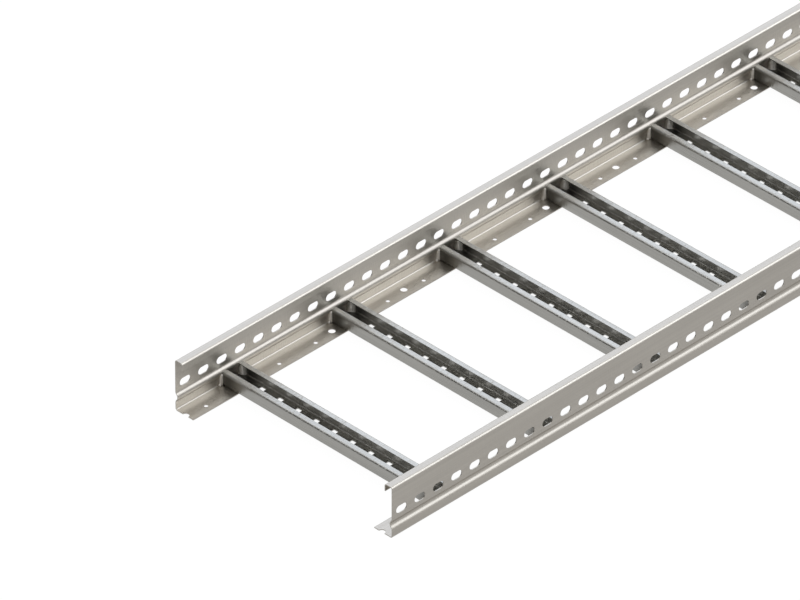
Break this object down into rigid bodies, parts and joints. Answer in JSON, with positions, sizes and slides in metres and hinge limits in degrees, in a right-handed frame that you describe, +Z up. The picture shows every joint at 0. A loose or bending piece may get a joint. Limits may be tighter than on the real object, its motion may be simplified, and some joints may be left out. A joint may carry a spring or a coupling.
{
  "type": "cable ladder section",
  "caption": "Straight welded cable ladder section with slotted C-shaped side rails and open C-channel rungs, in brushed stainless steel.",
  "frame": {"origin": "under the middle of the ladder, midway between the rails, level with the underside of the bottom flanges", "axes": "+X along the ladder, +Y towards the left rail, +Z up"},
  "size_m": [3, 0.597, 0.12],
  "materials": {
    "rail_steel": "brushed stainless steel, warm grey, with fine streaks along the rail",
    "rung_steel": "brushed stainless steel, with fine streaks along the rung",
    "weld_metal": "pickled weld bead with ripples"
  },
  "bodies": {
    "root": {"left_rail": "rail_steel", "right_rail": "rail_steel", "rung_01": "rung_steel", "rung_02": "rung_steel", "rung_03": "rung_steel", "rung_04": "rung_steel", "rung_05": "rung_steel", "rung_06": "rung_steel", "rung_07": "rung_steel", "rung_08": "rung_steel", "rung_09": "rung_steel", "rung_10": "rung_steel", "left_welds": "weld_metal", "right_welds": "weld_metal"}
  },
  "joints": []
}
